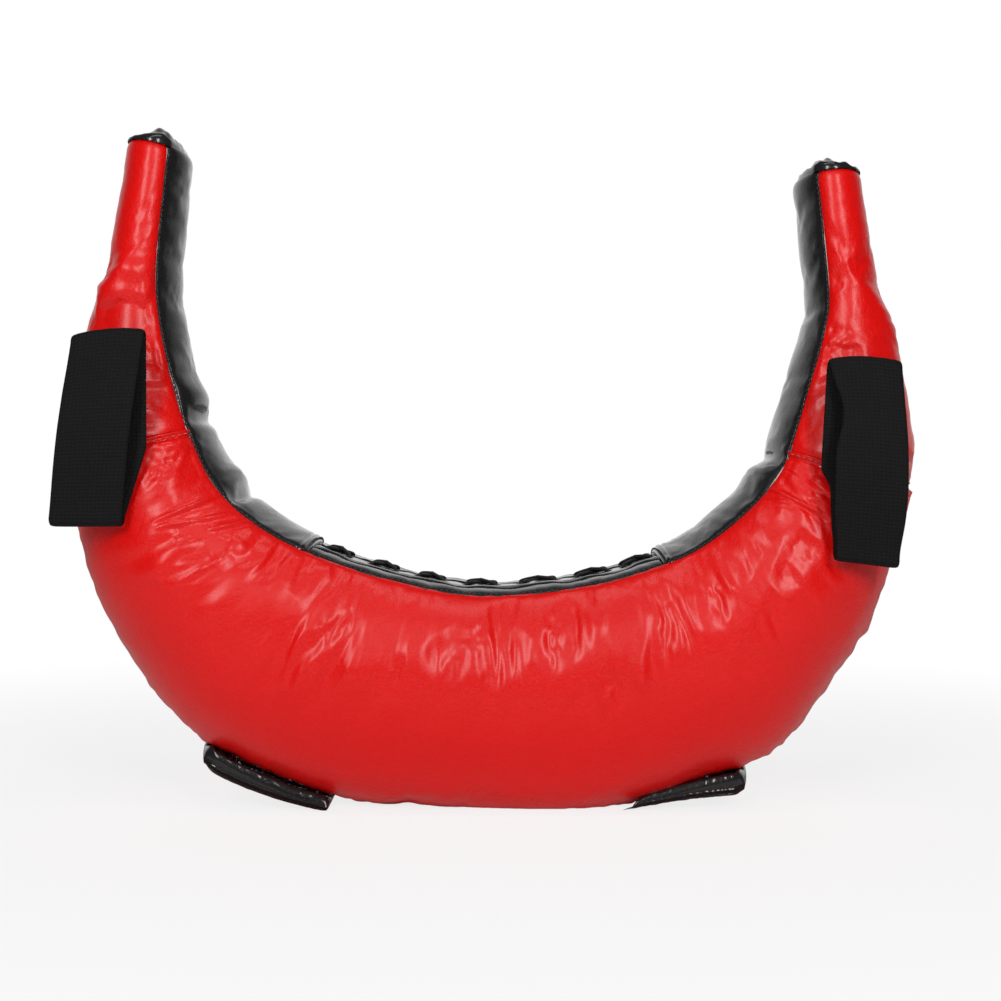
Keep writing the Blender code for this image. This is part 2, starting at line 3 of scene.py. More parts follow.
import bmesh
import bpy
import numpy as np
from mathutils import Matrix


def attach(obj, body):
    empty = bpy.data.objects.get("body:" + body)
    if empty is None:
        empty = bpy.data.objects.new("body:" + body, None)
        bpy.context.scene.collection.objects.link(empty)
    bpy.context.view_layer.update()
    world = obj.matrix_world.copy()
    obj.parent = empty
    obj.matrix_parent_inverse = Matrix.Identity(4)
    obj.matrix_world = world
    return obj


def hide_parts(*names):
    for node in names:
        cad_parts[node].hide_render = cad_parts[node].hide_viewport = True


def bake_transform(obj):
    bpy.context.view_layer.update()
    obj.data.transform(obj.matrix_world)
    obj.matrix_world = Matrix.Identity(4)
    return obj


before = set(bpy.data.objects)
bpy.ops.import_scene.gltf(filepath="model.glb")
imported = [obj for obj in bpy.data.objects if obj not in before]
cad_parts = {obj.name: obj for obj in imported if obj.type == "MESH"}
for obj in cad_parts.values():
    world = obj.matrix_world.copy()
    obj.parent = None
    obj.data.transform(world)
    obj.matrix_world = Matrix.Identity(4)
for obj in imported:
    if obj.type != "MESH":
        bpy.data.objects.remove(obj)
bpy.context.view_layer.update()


# The bag is seen from the front, level with the upper half of its belly, through a normal lens.
camera = bpy.data.objects.new("camera", bpy.data.cameras.new("camera"))
camera.data.lens = 50
camera.data.sensor_width = 36
camera.location = (0.0058, -0.8585, 0.187)
camera.rotation_euler = (math.radians(90), 0, 0)
bpy.context.scene.collection.objects.link(camera)
bpy.context.scene.camera = camera


# The red skin: six panels of coated leather, belly and two horns in front and behind, sewn inside out
# and turned. The stuffing rounds them out, and every seam draws the leather down into a groove.
BAG_WIDTH = 0.520
BAG_HEIGHT = 0.407
MID_Y = 0.0085
GUSSET_WIDTHS = (0.050, 0.078)
BULGES = (0.005, 0.023)
GUSSET_CROWN = 0.003
# inner edge X and Z and outer edge X and Z as shares of the bag's width and height, then the girth share
STATIONS = np.array((
    (-0.374, 0.988, -0.432, 1.004, 0.00),
    (-0.387, 0.816, -0.457, 0.820, 0.08),
    (-0.383, 0.726, -0.479, 0.728, 0.20),
    (-0.364, 0.622, -0.497, 0.613, 0.40),
    (-0.348, 0.565, -0.503, 0.513, 0.55),
    (-0.318, 0.487, -0.483, 0.381, 0.80),
    (-0.273, 0.431, -0.449, 0.272, 0.95),
    (-0.209, 0.386, -0.357, 0.114, 1.00),
    (-0.115, 0.346, -0.191, 0.014, 1.00),
    (-0.012, 0.323, -0.013, -0.012, 1.00),
    (0.106, 0.336, 0.127, -0.012, 1.00),
    (0.197, 0.368, 0.254, 0.039, 1.00),
    (0.244, 0.396, 0.338, 0.083, 0.97),
    (0.292, 0.444, 0.406, 0.195, 0.90),
    (0.325, 0.490, 0.453, 0.284, 0.75),
    (0.343, 0.533, 0.498, 0.473, 0.55),
    (0.366, 0.625, 0.499, 0.587, 0.35),
    (0.386, 0.713, 0.479, 0.709, 0.18),
    (0.391, 0.780, 0.460, 0.796, 0.08),
    (0.378, 0.950, 0.439, 0.956, 0.00),
)) * (BAG_WIDTH, BAG_HEIGHT, BAG_WIDTH, BAG_HEIGHT, 1)
LEFT_TIP, LEFT_SEAM, LEFT_JOIN, RIGHT_JOIN, RIGHT_SEAM, RIGHT_TIP = 0, 4, 7, 11, 15, 19
FRONT, BACK = -1, 1
FLOOR_CLEARANCE = 0.0002
SEAM_WIDTH = 0.008
SEAM_ROWS = 16
LATTICE = 128


def cubic(rows, at):
    """The rows of an array at fractional places, on the cubic that passes through each row in turn."""
    last = len(rows) - 1
    k = np.clip(np.floor(at), 0, last - 1).astype(int)
    t = (at - k).reshape(at.shape + (1,) * (rows.ndim - 1))
    a, b, c, d = (rows[np.clip(k + step, 0, last)] for step in (-1, 0, 1, 2))
    return (2 * b + (c - a) * t + (2 * a - 5 * b + 4 * c - d) * t**2 + (3 * b - a - 3 * c + d) * t**3) / 2


def section(u):
    """The cut through the bag at places u: an ellipse with its inner end cut off flat for the gusset.

    The cut-off width and the depth grow with the girth, and the length spans inner to outer edge.
    """
    inner_x, inner_z, outer_x, outer_z, girth = np.moveaxis(cubic(STATIONS, u), -1, 0)
    length = np.hypot(outer_x - inner_x, outer_z - inner_z)
    half_width = (GUSSET_WIDTHS[0] + (GUSSET_WIDTHS[1] - GUSSET_WIDTHS[0]) * girth) / 2
    half_depth = half_width + BULGES[0] + (BULGES[1] - BULGES[0]) * girth
    radius = length / (1 + np.sqrt(1 - (half_width / half_depth) ** 2))
    across = np.stack(((outer_x - inner_x) / length, (outer_z - inner_z) / length))
    return inner_x, inner_z, across, length, half_width, half_depth, radius


def place(u, along, y):
    """Points at places u, this far from the inner edge towards the outer one, kept above the floor."""
    inner_x, inner_z, across, *_ = section(u)
    x, z = inner_x + across[0] * along, inner_z + across[1] * along
    return np.stack((x, y + MID_Y + 0 * x, np.maximum(z, 0)), axis=-1)


def skin(u, t, side):
    """The panels' surface: t turns round the ellipse from the inner seam, at 0, to the outer one, at 1."""
    *_, length, _, half_depth, radius = section(u)
    turn = np.arccos(-(length - radius) / radius) * (1 - t)
    return place(u, length - radius + radius * np.cos(turn), side * half_depth * np.sin(turn))


def even_places(start, end, count, close=0):
    """Places from start to end, evenly spaced along the middle of the skin, and their distances.

    This many of them may be packed close together at each end, within a seam's width.
    """
    fine = np.linspace(start, end, 2001)
    middle = skin(fine, 0.5, FRONT)
    run = np.concatenate(((0,), np.cumsum(np.linalg.norm(np.diff(middle, axis=0), axis=1))))
    packed = np.linspace(0, SEAM_WIDTH, close, endpoint=False)
    margin = SEAM_WIDTH if close else 0
    even = np.linspace(margin, run[-1] - margin, count - 2 * close)
    wanted = np.concatenate((packed, even, run[-1] - packed[::-1]))
    return np.interp(wanted, run, fine), wanted


def normals(points, side):
    """Unit normals of a grid of points, turned outwards for that side."""
    outward = side * np.cross(np.gradient(points, axis=0), np.gradient(points, axis=1))
    return outward / np.linalg.norm(outward, axis=-1, keepdims=True)


def travel(points, axis):
    """How far each point of a grid is from its first row or column, along the surface."""
    steps = np.linalg.norm(np.diff(points, axis=axis), axis=-1)
    steps = np.concatenate((np.zeros_like(np.take(steps, [0], axis)), steps), axis=axis)
    return np.cumsum(steps, axis=axis)


def swell(x, y, seed):
    """Gradient noise from about -1 to 1: random slopes on a unit lattice, blended by an eased weight."""
    slopes = np.random.default_rng(seed).uniform(0, 2 * math.pi, (LATTICE, LATTICE))
    i, j = np.floor(x).astype(int), np.floor(y).astype(int)
    total = 0
    for di in (0, 1):
        for dj in (0, 1):
            slope = slopes[(i + di) % LATTICE, (j + dj) % LATTICE]
            dx, dy = x - i - di, y - j - dj
            wx, wy = 1 - np.abs(dx), 1 - np.abs(dy)
            ease = wx**3 * (wx * (6 * wx - 15) + 10) * wy**3 * (wy * (6 * wy - 15) + 10)
            total = total + ease * (np.cos(slope) * dx + np.sin(slope) * dy)
    return 1.5 * total


def folds(x, y, seed):
    """Stuffed folds from 0 to 1: rounded swellings that meet in narrow furrows, where the noise is 0."""
    height = np.abs(swell(x, y, seed))
    return np.sqrt(height**2 + 0.01) - 0.1


def bell(distance, width):
    """A bell curve: 1 where the distance is 0, and nearly 0 from twice the width on."""
    return np.exp(-((distance / width) ** 2))


def seam_groove(distance, depth, roll):
    """The surface falls to this depth at a seam and comes up again in a roll."""
    return -depth * np.exp(-((distance / roll) ** 1.5))


def new_object(name, points, faces, material):
    """A smooth mesh object with this material, linked into the scene."""
    mesh = bpy.data.meshes.new(name)
    mesh.from_pydata(points, (), faces)
    mesh.shade_smooth()
    mesh.materials.append(material)
    piece = bpy.data.objects.new(name, mesh)
    bpy.context.scene.collection.objects.link(piece)
    return piece


def grid_quads(index, ring, rows_closed=False):
    """The quads between a grid's points, given by their numbers. Its columns or rows may close."""
    if ring:
        index = np.concatenate((index, index[:, :1]), axis=1)
    if rows_closed:
        index = np.concatenate((index, index[:1]), axis=0)
    return np.stack((index[:-1, :-1], index[:-1, 1:], index[1:, 1:], index[1:, :-1]), axis=-1).reshape(-1, 4)


def new_piece(name, points, material, outward=None, uv=None, ring=False, rows_closed=False):
    """A smooth mesh of quads through a grid of points, with closed rows or columns where they meet.

    The quads face the outward directions or, where none are given, away from each row's middle.
    """
    rows, columns = points.shape[:2]
    quads = grid_quads(np.arange(rows * columns).reshape(rows, columns), ring, rows_closed)
    if outward is None:
        outward = points - points.mean(axis=1, keepdims=True)
    facing = np.cross(points[1:, 1:] - points[:-1, :-1], points[1:, :-1] - points[:-1, 1:])
    if (facing * outward[:-1, :-1]).sum() < 0:
        quads = quads[:, ::-1]
    piece = new_object(name, points.reshape(-1, 3), quads, material)
    if uv is not None:
        corners = np.empty(len(piece.data.loops), dtype=np.int32)
        piece.data.loops.foreach_get("vertex_index", corners)
        layer = piece.data.uv_layers.new(name="UVMap")
        layer.uv.foreach_set("vector", uv.reshape(-1, 2)[corners].ravel())
    return piece


class Shade:
    """A shader socket that Python's operators act on, each by adding one Math node."""

    def __init__(self, tree, socket=None):
        self.tree, self.socket = tree, socket

    def node(self, kind, settings=None, inputs=None, output=0):
        """Adds a node, sets its settings and then its sockets, and gives its output."""
        node = self.tree.nodes.new(kind)
        for key, value in (settings or {}).items():
            setattr(node, key, value)
        for key, value in (inputs or {}).items():
            if isinstance(value, Shade):
                self.tree.links.new(value.socket, node.inputs[key])
            else:
                node.inputs[key].default_value = value
        return Shade(self.tree, node.outputs[output])

    def math(self, operation, first, second=0):
        return self.node("ShaderNodeMath", {"operation": operation}, {0: first, 1: second})

    def __add__(self, other):
        return self.math("ADD", self, other)

    def __sub__(self, other):
        return self.math("SUBTRACT", self, other)

    def __rsub__(self, other):
        return self.math("SUBTRACT", other, self)

    def __mul__(self, other):
        return self.math("MULTIPLY", self, other)

    __radd__ = __add__

    def mix(self, dark, light):
        """A colour that goes from dark, where this value is 0, to light, where it is 1."""
        inputs = {"Factor": self, 6: dark, 7: light}
        return self.node("ShaderNodeMix", {"data_type": "RGBA"}, inputs, 2)

    def bump(self, distance):
        """The normal of a surface raised by this value times a distance in metres."""
        return self.node("ShaderNodeBump", None, {"Height": self, "Distance": distance, "Strength": 1})

    def eased(self, start, end, low, high):
        """A value that goes from low to high in a soft S while this one goes from start to end."""
        inputs = {0: self, 1: start, 2: end, 3: low, 4: high}
        return self.node("ShaderNodeMapRange", {"interpolation_type": "SMOOTHSTEP"}, inputs)

    def noise(self, where, scale, detail=2, roughness=0.5):
        inputs = {"Vector": where, "Scale": scale, "Detail": detail, "Roughness": roughness}
        return self.node("ShaderNodeTexNoise", None, inputs)


def new_material(name, **fixed):
    """A material, its Principled shader with these fixed sockets set, and a Shade of its nodes."""
    material = bpy.data.materials.new(name)
    material.use_nodes = True
    shader = material.node_tree.nodes["Principled BSDF"]
    for key, value in fixed.items():
        shader.inputs[key.replace("_", " ").title().replace("Ior", "IOR")].default_value = value
    return material, shader, Shade(material.node_tree)


def feed(shader, shade, socket):
    """Links a Shade to one of the shader's sockets."""
    shade.tree.links.new(shade.socket, shader.inputs[socket])


def grey(level):
    return (level, level, level, 1)


CLOUD_SCALE, PEBBLE_SCALE, GRAIN_SCALE, PORE_SCALE = 14, 330, 850, 2100


def coated_leather(name, dark, light, rough, coat, film, depth):
    """Coated leather: a fine pebbled grain under a glossy film, with cloudy wear in colour and gloss."""
    material, shader, make = new_material(
        name, coat_weight=coat, coat_roughness=film, coat_ior=1.5, specular_ior_level=0.12
    )
    where = make.node("ShaderNodeTexCoord", output=3)
    cloud = make.noise(where, CLOUD_SCALE, 3)
    cells = {"Vector": where, "Scale": GRAIN_SCALE}
    grain = make.node("ShaderNodeTexVoronoi", {"feature": "SMOOTH_F1"}, cells)
    pores = make.noise(where, PORE_SCALE, 1)
    pebble = make.noise(where, PEBBLE_SCALE, 2)
    feed(shader, cloud.mix(dark, light), "Base Color")
    feed(shader, rough + (cloud - 0.5) * 0.16 + (pebble - 0.5) * 0.14, "Roughness")
    feed(shader, (grain * 0.6 + pores * 0.25 + pebble * 0.9).bump(depth), "Normal")
    return material


red_leather = coated_leather(
    "red_leather", (0.72, 0.003, 0.002, 1), (0.80, 0.005, 0.004, 1),
    rough=0.38, coat=0.42, film=0.28, depth=0.0004,
)
SETTLED_FRAME = 24
BLOWN_LIMITS = (-0.004, 0.005)


def stuffed(plain, outward, growth, bending, reach):
    """Cloth simulation: how far each point of a grid of leather moves out when blown up from inside.

    The grid is held along its four edges, as by the seams, and cut larger than its form by the growth.
    What changes slowly in the result, over more than the reach, is taken off: the form has it already.
    """
    index = np.arange(plain[..., 0].size).reshape(plain.shape[:2])
    piece = new_piece("simulated", plain, None, outward)
    seams = piece.vertex_groups.new(name="seams")
    for edge in (index[0], index[-1], index[:, 0], index[:, -1]):
        seams.add(edge.tolist(), 1, "REPLACE")
    cloth = piece.modifiers.new("cloth", "CLOTH")
    cloth.collision_settings.use_collision = False
    leather = cloth.settings
    leather.quality = 5
    leather.mass = 0.15
    leather.tension_stiffness = 25
    leather.compression_stiffness = 25
    leather.shear_stiffness = 12
    leather.bending_stiffness = bending
    leather.shrink_min = -growth
    leather.use_pressure = True
    leather.uniform_pressure_force = 5
    leather.effector_weights.gravity = 0
    leather.vertex_group_mass = "seams"
    for step in range(1, SETTLED_FRAME + 1):
        bpy.context.scene.frame_set(step)
    baked = piece.evaluated_get(bpy.context.evaluated_depsgraph_get())
    moved = np.empty(plain.size, dtype=np.float32)
    baked.data.vertices.foreach_get("co", moved)
    bpy.context.scene.frame_set(1)
    bpy.data.meshes.remove(piece.data)
    height = ((moved.reshape(plain.shape) - plain) * outward).sum(axis=-1)
    slow = height
    for axis in (0, 1):
        spacing = travel(plain, axis).max() / plain.shape[axis]
        slow = softened(slow, axis, reach / spacing)
    return np.clip(height - slow, *BLOWN_LIMITS)


def softened(values, axis, spread):
    """Values blurred along one axis by a bell curve this many steps wide."""
    steps = np.arange(-int(3 * spread), int(3 * spread) + 1)
    weights = np.exp(-((steps / spread) ** 2) / 2)
    last = values.shape[axis] - 1
    moved = (np.take(values, np.clip(np.arange(last + 1) + step, 0, last), axis) for step in steps)
    return sum(weight * shifted for weight, shifted in zip(weights, moved)) / weights.sum()


def crumpled(points, seed, strength, wrinkle, pucker):
    """How far small folds raise the skin. They run from seam to seam, with puckers at the outer one.

    The strength says for every point how much the bend packs the leather there.
    """
    run = travel(points, 0)[:, points.shape[1] // 2][:, None]
    down = travel(points, 1)
    up = down[:, -1:] - down
    bend = 0.006 * swell(run / 0.03, down / 0.05, seed)
    height = wrinkle * strength * swell((run + bend) / 0.019, down / 0.08, seed + 1)
    height += 0.32 * wrinkle * strength * swell((run + 1.5 * bend) / 0.008, down / 0.04, seed + 2)
    height += 0.0008 * swell(run / 0.05, down / 0.06, seed + 3)
    beside_seam = bell(up - 0.006, 0.012)
    height += 0.65 * pucker * folds((run - bend) / 0.012, up / 0.03, seed + 4) * beside_seam
    return height


def tucked(points, outward, rim):
    """Turns the outer rows and columns of a grid down into their seams by the rim."""
    sunk = points.copy()
    for edge in (np.s_[0], np.s_[-1], np.s_[:, 0], np.s_[:, -1]):
        sunk[edge] = points[edge] - outward[edge] * rim
    return sunk


def crease(points, start, end, width, height):
    """A pinched fold seen from the front: a ridge with a furrow below it, dying out at both ends."""
    start, end = np.array(start), np.array(end)
    run = end - start
    offset = points[..., (0, 2)] - start
    share = offset @ run / (run @ run)
    away = (offset[..., 1] * run[0] - offset[..., 0] * run[1]) / np.linalg.norm(run) / width
    fade = np.clip(1 - (2 * share - 1) ** 2, 0, 1)
    return height * fade * (1.65 * away * np.exp(-(away**2) / 2) + 0.4 * bell(away, 1))


# each crease: X and Z of its start, X and Z of its end, its width and its height
FRONT_CREASES = (
    ((-0.1985, 0.1725), (-0.1600, 0.1900), 0.0011, 0.0011),
    ((-0.1970, 0.1700), (-0.1500, 0.1790), 0.0011, 0.0012),
    ((-0.1850, 0.1630), (-0.1680, 0.1690), 0.0010, 0.0009),
    ((-0.1700, 0.1685), (-0.1400, 0.1745), 0.0010, 0.0011),
    ((0.1620, 0.1955), (0.2010, 0.1745), 0.0011, 0.0012),
    ((0.1600, 0.1890), (0.1820, 0.1830), 0.0010, 0.0008),
)


def belly_strength(share, along):
    """Folds across the belly: strongest a quarter of the way down, where the bend packs the leather."""
    return bell(share - 0.26, 0.24) + 0.5 * share**6 + 0.1


def left_horn_strength(share, along):
    """Folds across the horn, none at its tip and most of them just above the belly."""
    return (1 / (1 + np.exp(-(along - 0.34) / 0.05))) * (0.6 + 0.4 * np.sin(math.pi * share)) + 0.12


def right_horn_strength(share, along):
    """The left horn's folds in a mirror: this panel starts at the belly and ends at the tip."""
    return left_horn_strength(share, 1 - along)


SKIN_THICKNESS = 0.002
SKIN_RIM = 0.0016
DEEPEST_GROOVE = 0.0019
ROLL = 0.0026
FOLD_FADE = 0.024
CLOTH_SPACING = 0.0042
# the folded edge and the furrow behind it: distance from the panel's end, width and height
BELLY_END_FOLDS = ((0.0009, 0.0011, 0.0016), (0.0040, 0.0010, -0.0009))


def red_panel(name, start, end, side, seed, counts, growth, strength, wrinkle, pucker, creases=None):
    """One panel. The belly's ends are folded under and stitched over the horns, whose ends run below them.

    Only the belly has creases, and only its outer seam is puckered deeply.
    """
    u, wanted = even_places(start, end, counts[0], SEAM_ROWS)
    t = np.linspace(0, 1, counts[1])
    t = t - 0.09 * np.sin(2 * math.pi * t)
    plain = skin(u[:, None], t[None, :], side)
    outward = normals(plain, side)
    down, along = travel(plain, 1), travel(plain, 0)
    patch = np.clip(0.6 + 1.3 * swell(along / 0.050, down / 0.050, seed + 6), 0.12, 1)
    strong = strength(down / down[:, -1:], along / along[-1:]) * patch
    height = crumpled(plain, seed, strong, wrinkle, pucker)
    rows, columns = (int(travel(plain, axis).max() / CLOTH_SPACING) for axis in (0, 1))
    coarse = skin(even_places(start, end, rows)[0][:, None], np.linspace(0, 1, columns)[None, :], side)
    blown = stuffed(coarse, normals(coarse, side), growth, 0.25, 0.025)
    blown = cubic(blown, wanted / wanted[-1] * (rows - 1))
    height += cubic(blown.T, t * (columns - 1)).T * 0.7 * strong**0.8
    height *= 1 - bell(down, 0.004)
    up = down[:, -1:] - down
    height += seam_groove(down, 0.0012, ROLL) + seam_groove(up, 0.0005 + 0.27 * pucker, ROLL)
    height += pucker * (folds(along[:, -1:] / 0.011, 0.5, 77) - 0.24) * bell(up, 0.008)
    for fold in creases or ():
        height += crease(plain, *fold)
    height = np.maximum(height, -DEEPEST_GROOVE)
    clear = 1 - bell(up, FOLD_FADE)
    for distance in (along, along[-1:] - along):
        if creases is not None:
            for fold_place, width, rise in BELLY_END_FOLDS:
                height += rise * clear * bell(distance - fold_place, width)
        else:
            height += seam_groove(distance, 0.0012, ROLL)
    points = tucked(plain + outward * height[..., None], outward, SKIN_RIM)
    points[..., 2] = np.maximum(points[..., 2], FLOOR_CLEARANCE)
    piece = new_piece(name + "_skin", points, red_leather, outward)
    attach(piece, "bag")
    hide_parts(name)


HORN = {"counts": (170, 90), "growth": 0.03, "wrinkle": 0.0036, "pucker": 0.0006}
BELLY = {"counts": (520, 190), "growth": 0.022, "wrinkle": 0.0027, "pucker": 0.0034}
for side, word, seed, creases in ((FRONT, "front", 20, FRONT_CREASES), (BACK, "back", 60, ())):
    name = word + "_left_horn_panel"
    red_panel(name, LEFT_TIP, LEFT_SEAM, side, seed, strength=left_horn_strength, **HORN)
    name = word + "_belly_panel"
    red_panel(name, LEFT_SEAM, RIGHT_SEAM, side, seed + 8, strength=belly_strength, creases=creases, **BELLY)
    name = word + "_right_horn_panel"
    red_panel(name, RIGHT_SEAM, RIGHT_TIP, side, seed + 16, strength=right_horn_strength, **HORN)


# The black inner gusset: two lengths of the same leather round the inside of the crescent, sewn to the
# red panels in front and behind. It wrinkles across, because it is the short side of the bend.
black_leather = coated_leather(
    "black_leather", (0.009, 0.009, 0.010, 1), (0.017, 0.017, 0.018, 1),
    rough=0.28, coat=0.65, film=0.12, depth=0.00014,
)
GUSSET_PUFF = 0.0042
GUSSET_COUNTS = (290, 44)
JOIN_LINES = (0.0022, 0.0062)
GUSSET_MARGIN = 0.0002
LIFT = 0.0006


def gusset_surface(u, share):
    """The gusset's surface: a low parabola across, share running from the front seam, -1, to the back, 1."""
    *_, half_width, _, _ = section(u)
    return place(u, -GUSSET_CROWN * (1 - share**2), (half_width + GUSSET_MARGIN) * share)


def gusset_piece(name, start, end, seed, ends, puffs):
    """One length of the gusset: crowned and creased across, with a big puffed fold at each given place.

    The ends say whether it is joined to a placket there, by a seam with two stitched lines.
    """
    u, wanted = even_places(start, end, GUSSET_COUNTS[0], SEAM_ROWS)
    share = np.sin(np.linspace(-1, 1, GUSSET_COUNTS[1]) * math.pi / 2)
    plain = gusset_surface(u[:, None], share[None, :])
    outward = normals(plain, BACK)
    run = travel(plain, 0)[:, GUSSET_COUNTS[1] // 2][:, None]
    over = travel(plain, 1)
    edge = np.minimum(over, over[:, -1:] - over)
    middle = 1 - share[None, :] ** 2
    height = GUSSET_PUFF * middle + 0.0007 * middle * swell(run / 0.030, over / 0.10, seed)
    for puff in puffs:
        ahead = run - np.interp(puff, u, run[:, 0])
        height += 0.0030 * np.sqrt(middle) * bell(ahead, 0.009)
        height -= 0.0032 * np.sqrt(middle) * bell(ahead - 0.015, 0.0045)
    height += 0.0006 * folds(run / 0.014, over / 0.03, seed + 1) * bell(edge, 0.008)
    height += 0.0010 * swell(run / 0.06, over / 0.05, seed + 2)
    rows, columns = (int(travel(plain, axis).max() / 0.004) for axis in (0, 1))
    coarse = gusset_surface(even_places(start, end, rows)[0][:, None], np.linspace(-1, 1, columns)[None, :])
    blown = cubic(stuffed(coarse, normals(coarse, BACK), 0.012, 0.5, 0.03), wanted / wanted[-1] * (rows - 1))
    height += 0.4 * cubic(blown.T, (share + 1) / 2 * (columns - 1)).T
    height += seam_groove(edge, 0.0010, 0.0012)
    along = travel(plain, 0)
    for distance, joined in zip((along, along[-1:] - along), ends):
        height += seam_groove(distance, 0.0022 if joined else 0.0010, 0.0016)
        for line in JOIN_LINES:
            height -= 0.0009 * joined * bell(distance - line, 0.0007)
    points = tucked(plain + outward * (height + LIFT)[..., None], outward, SKIN_THICKNESS)
    piece = new_piece(name + "_skin", points, black_leather, outward)
    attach(piece, "bag")
    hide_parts(name)


gusset_piece("inner_gusset_left", LEFT_TIP, LEFT_JOIN, 101, (False, True), (3.1, 5.0))
gusset_piece("inner_gusset_right", RIGHT_JOIN, RIGHT_TIP, 113, (True, False), (13.9,))


# The lacing: two leather plackets with a stitched fold along the slit, a row of punched holes in each,
# a fabric tongue under the slit, and one round braided lace that crosses seven times from hole to hole.
SLIT_HALF = 0.004
HOLE_ROW = 0.011
HEM = 0.027
CROSS_LENGTH = 0.023
LACE_WIDTH = 0.0023
GAP = 0.0003
CROSS_COUNT = 7
CROSSES = LEFT_JOIN + (RIGHT_JOIN - LEFT_JOIN) / CROSS_COUNT * (np.arange(CROSS_COUNT) + 0.5)


def places_per_metre(u):
    """How many places a metre along the middle of the crescent takes at places u."""
    before, after = (skin(u + step, 0.5, FRONT) for step in (-0.5, 0.5))
    return 1 / np.linalg.norm((after - before) * (1, 0, 1), axis=-1)


def lacing_point(u, along, y, depth):
    """A point this far along the crescent from place u, this far off its middle and this deep."""
    u = u + along * places_per_metre(u)
    half_width = section(u)[4]
    return place(u, depth - GUSSET_CROWN * (1 - (y / half_width) ** 2), y)


def hem(u):
    """How far the plackets' stitched line is from the middle: it wanders in a low wave."""
    return HEM + 0.0013 * np.sin(11 * u)


def placket(name, side, seed):
    """One leather edge: its rows run from the seam with the red panel to a rolled fold beside the slit."""
    u, _ = even_places(LEFT_JOIN, RIGHT_JOIN, 300)
    half_width = section(u)[4][:, None]
    share = np.sin(np.linspace(-0.5, 0.5, 80) * math.pi)[None, :] / 2 + 0.5
    y = half_width + LIFT + (SLIT_HALF - half_width) * share
    plain = place(u[:, None], -GUSSET_CROWN * (1 - (y / half_width) ** 2), side * y)
    outward = normals(plain, -side)
    run = travel(plain, 0)[:, plain.shape[1] // 2][:, None]
    over = travel(plain, 1)
    hole_places = (-CROSS_LENGTH / 2, CROSS_LENGTH / 2)
    holes = np.concatenate([lacing_point(CROSSES, along, side * HOLE_ROW, 0) for along in hole_places])
    near_hole = np.linalg.norm(plain[:, :, None] - holes, axis=-1).min(axis=-1)
    height = 0.0012 * folds(run / 0.026, over / 0.05, seed)
    height += 0.0006 * folds(run / 0.011, over / 0.02, seed + 1)
    uneven = 1 + 0.8 * swell(run / 0.02, 0 * over, seed + 2)
    height += 0.0007 * bell(y - 0.0225, 0.0030) * uneven
    height -= 0.0013 * bell(y - hem(u[:, None]), 0.0009)
    height -= 0.0007 * bell(near_hole, 0.005) + 0.003 * np.exp(-((near_hole / 0.0019) ** 4))
    height += seam_groove(over, 0.0022, 0.0040) + seam_groove(over[:, -1:] - over, 0.0022, 0.0012)
    points = tucked(plain + outward * (height + LIFT)[..., None], outward, SKIN_RIM)
    piece = new_piece(name + "_skin", points, black_leather, outward)
    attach(piece, "bag")
    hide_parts(name)


placket("lace_placket_front", FRONT, 131)
placket("lace_placket_back", BACK, 141)


def woven(name, dark, light, across, along, rough, depth):
    """Cloth on a UV map in metres, its threads at this pitch across and along, with fuzz and slow drift."""
    material, shader, make = new_material(name, specular_ior_level=0.18)
    where = make.node("ShaderNodeUVMap")
    x, y = (make.node("ShaderNodeSeparateXYZ", None, {0: where}, axis) for axis in (0, 1))
    fuzz = make.noise(where, 900, 3)
    drift = make.noise(where, 120, 2)
    ribs = make.math("SINE", y * (2 * math.pi / along) + fuzz * 2.0 + drift * 5)
    threads = make.math("SINE", x * (2 * math.pi / across) + fuzz * 2.4 + drift * 4)
    weave = ribs * 0.6 + threads * 0.4
    cloud = make.noise(where, 60, 2)
    feed(shader, (weave * 0.32 + fuzz * 0.4 + cloud * 0.3 + 0.1).mix(dark, light), "Base Color")
    feed(shader, rough + (fuzz - 0.5) * 0.2, "Roughness")
    feed(shader, (weave * 0.5 + fuzz * 0.5).bump(depth), "Normal")
    return material


TONGUE_WIDTH = 0.027
TONGUE_DEPTH = 0.0045
tongue_fabric = woven(
    "tongue_fabric", grey(0.008), grey(0.03), across=0.0009, along=0.0009, rough=0.85, depth=0.0001
)
u, _ = even_places(LEFT_JOIN, RIGHT_JOIN, 180)
y = np.linspace(-TONGUE_WIDTH / 2, TONGUE_WIDTH / 2, 18)[None, :] + 0 * u[:, None]
plain = lacing_point(u[:, None], 0, y, TONGUE_DEPTH)
run, over = travel(plain, 0), travel(plain, 1)
plain[..., 2] += 0.0007 * swell(run / 0.02, over / 0.02, 151)
tongue_map = np.stack((over, run), axis=-1)
tongue = new_piece("lace_tongue_cloth", plain, tongue_fabric, normals(plain, BACK), tongue_map)
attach(tongue, "bag")
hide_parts("lace_tongue")


def tube(path, radius, sides):
    """A round tube along a path: at each point a circle stands square to the line between its neighbours.

    Its first direction is square to that line and to the world's Y, its second to both.
    """
    run = np.gradient(path, axis=0)
    run /= np.linalg.norm(run, axis=1, keepdims=True)
    side = np.cross(run, (0, 1, 0.0001))
    side /= np.linalg.norm(side, axis=1, keepdims=True)
    up = np.cross(side, run)
    angle = np.linspace(0, 2 * math.pi, sides, endpoint=False)[None, :, None]
    return path[:, None] + radius * (np.cos(angle) * side[:, None] + np.sin(angle) * up[:, None])


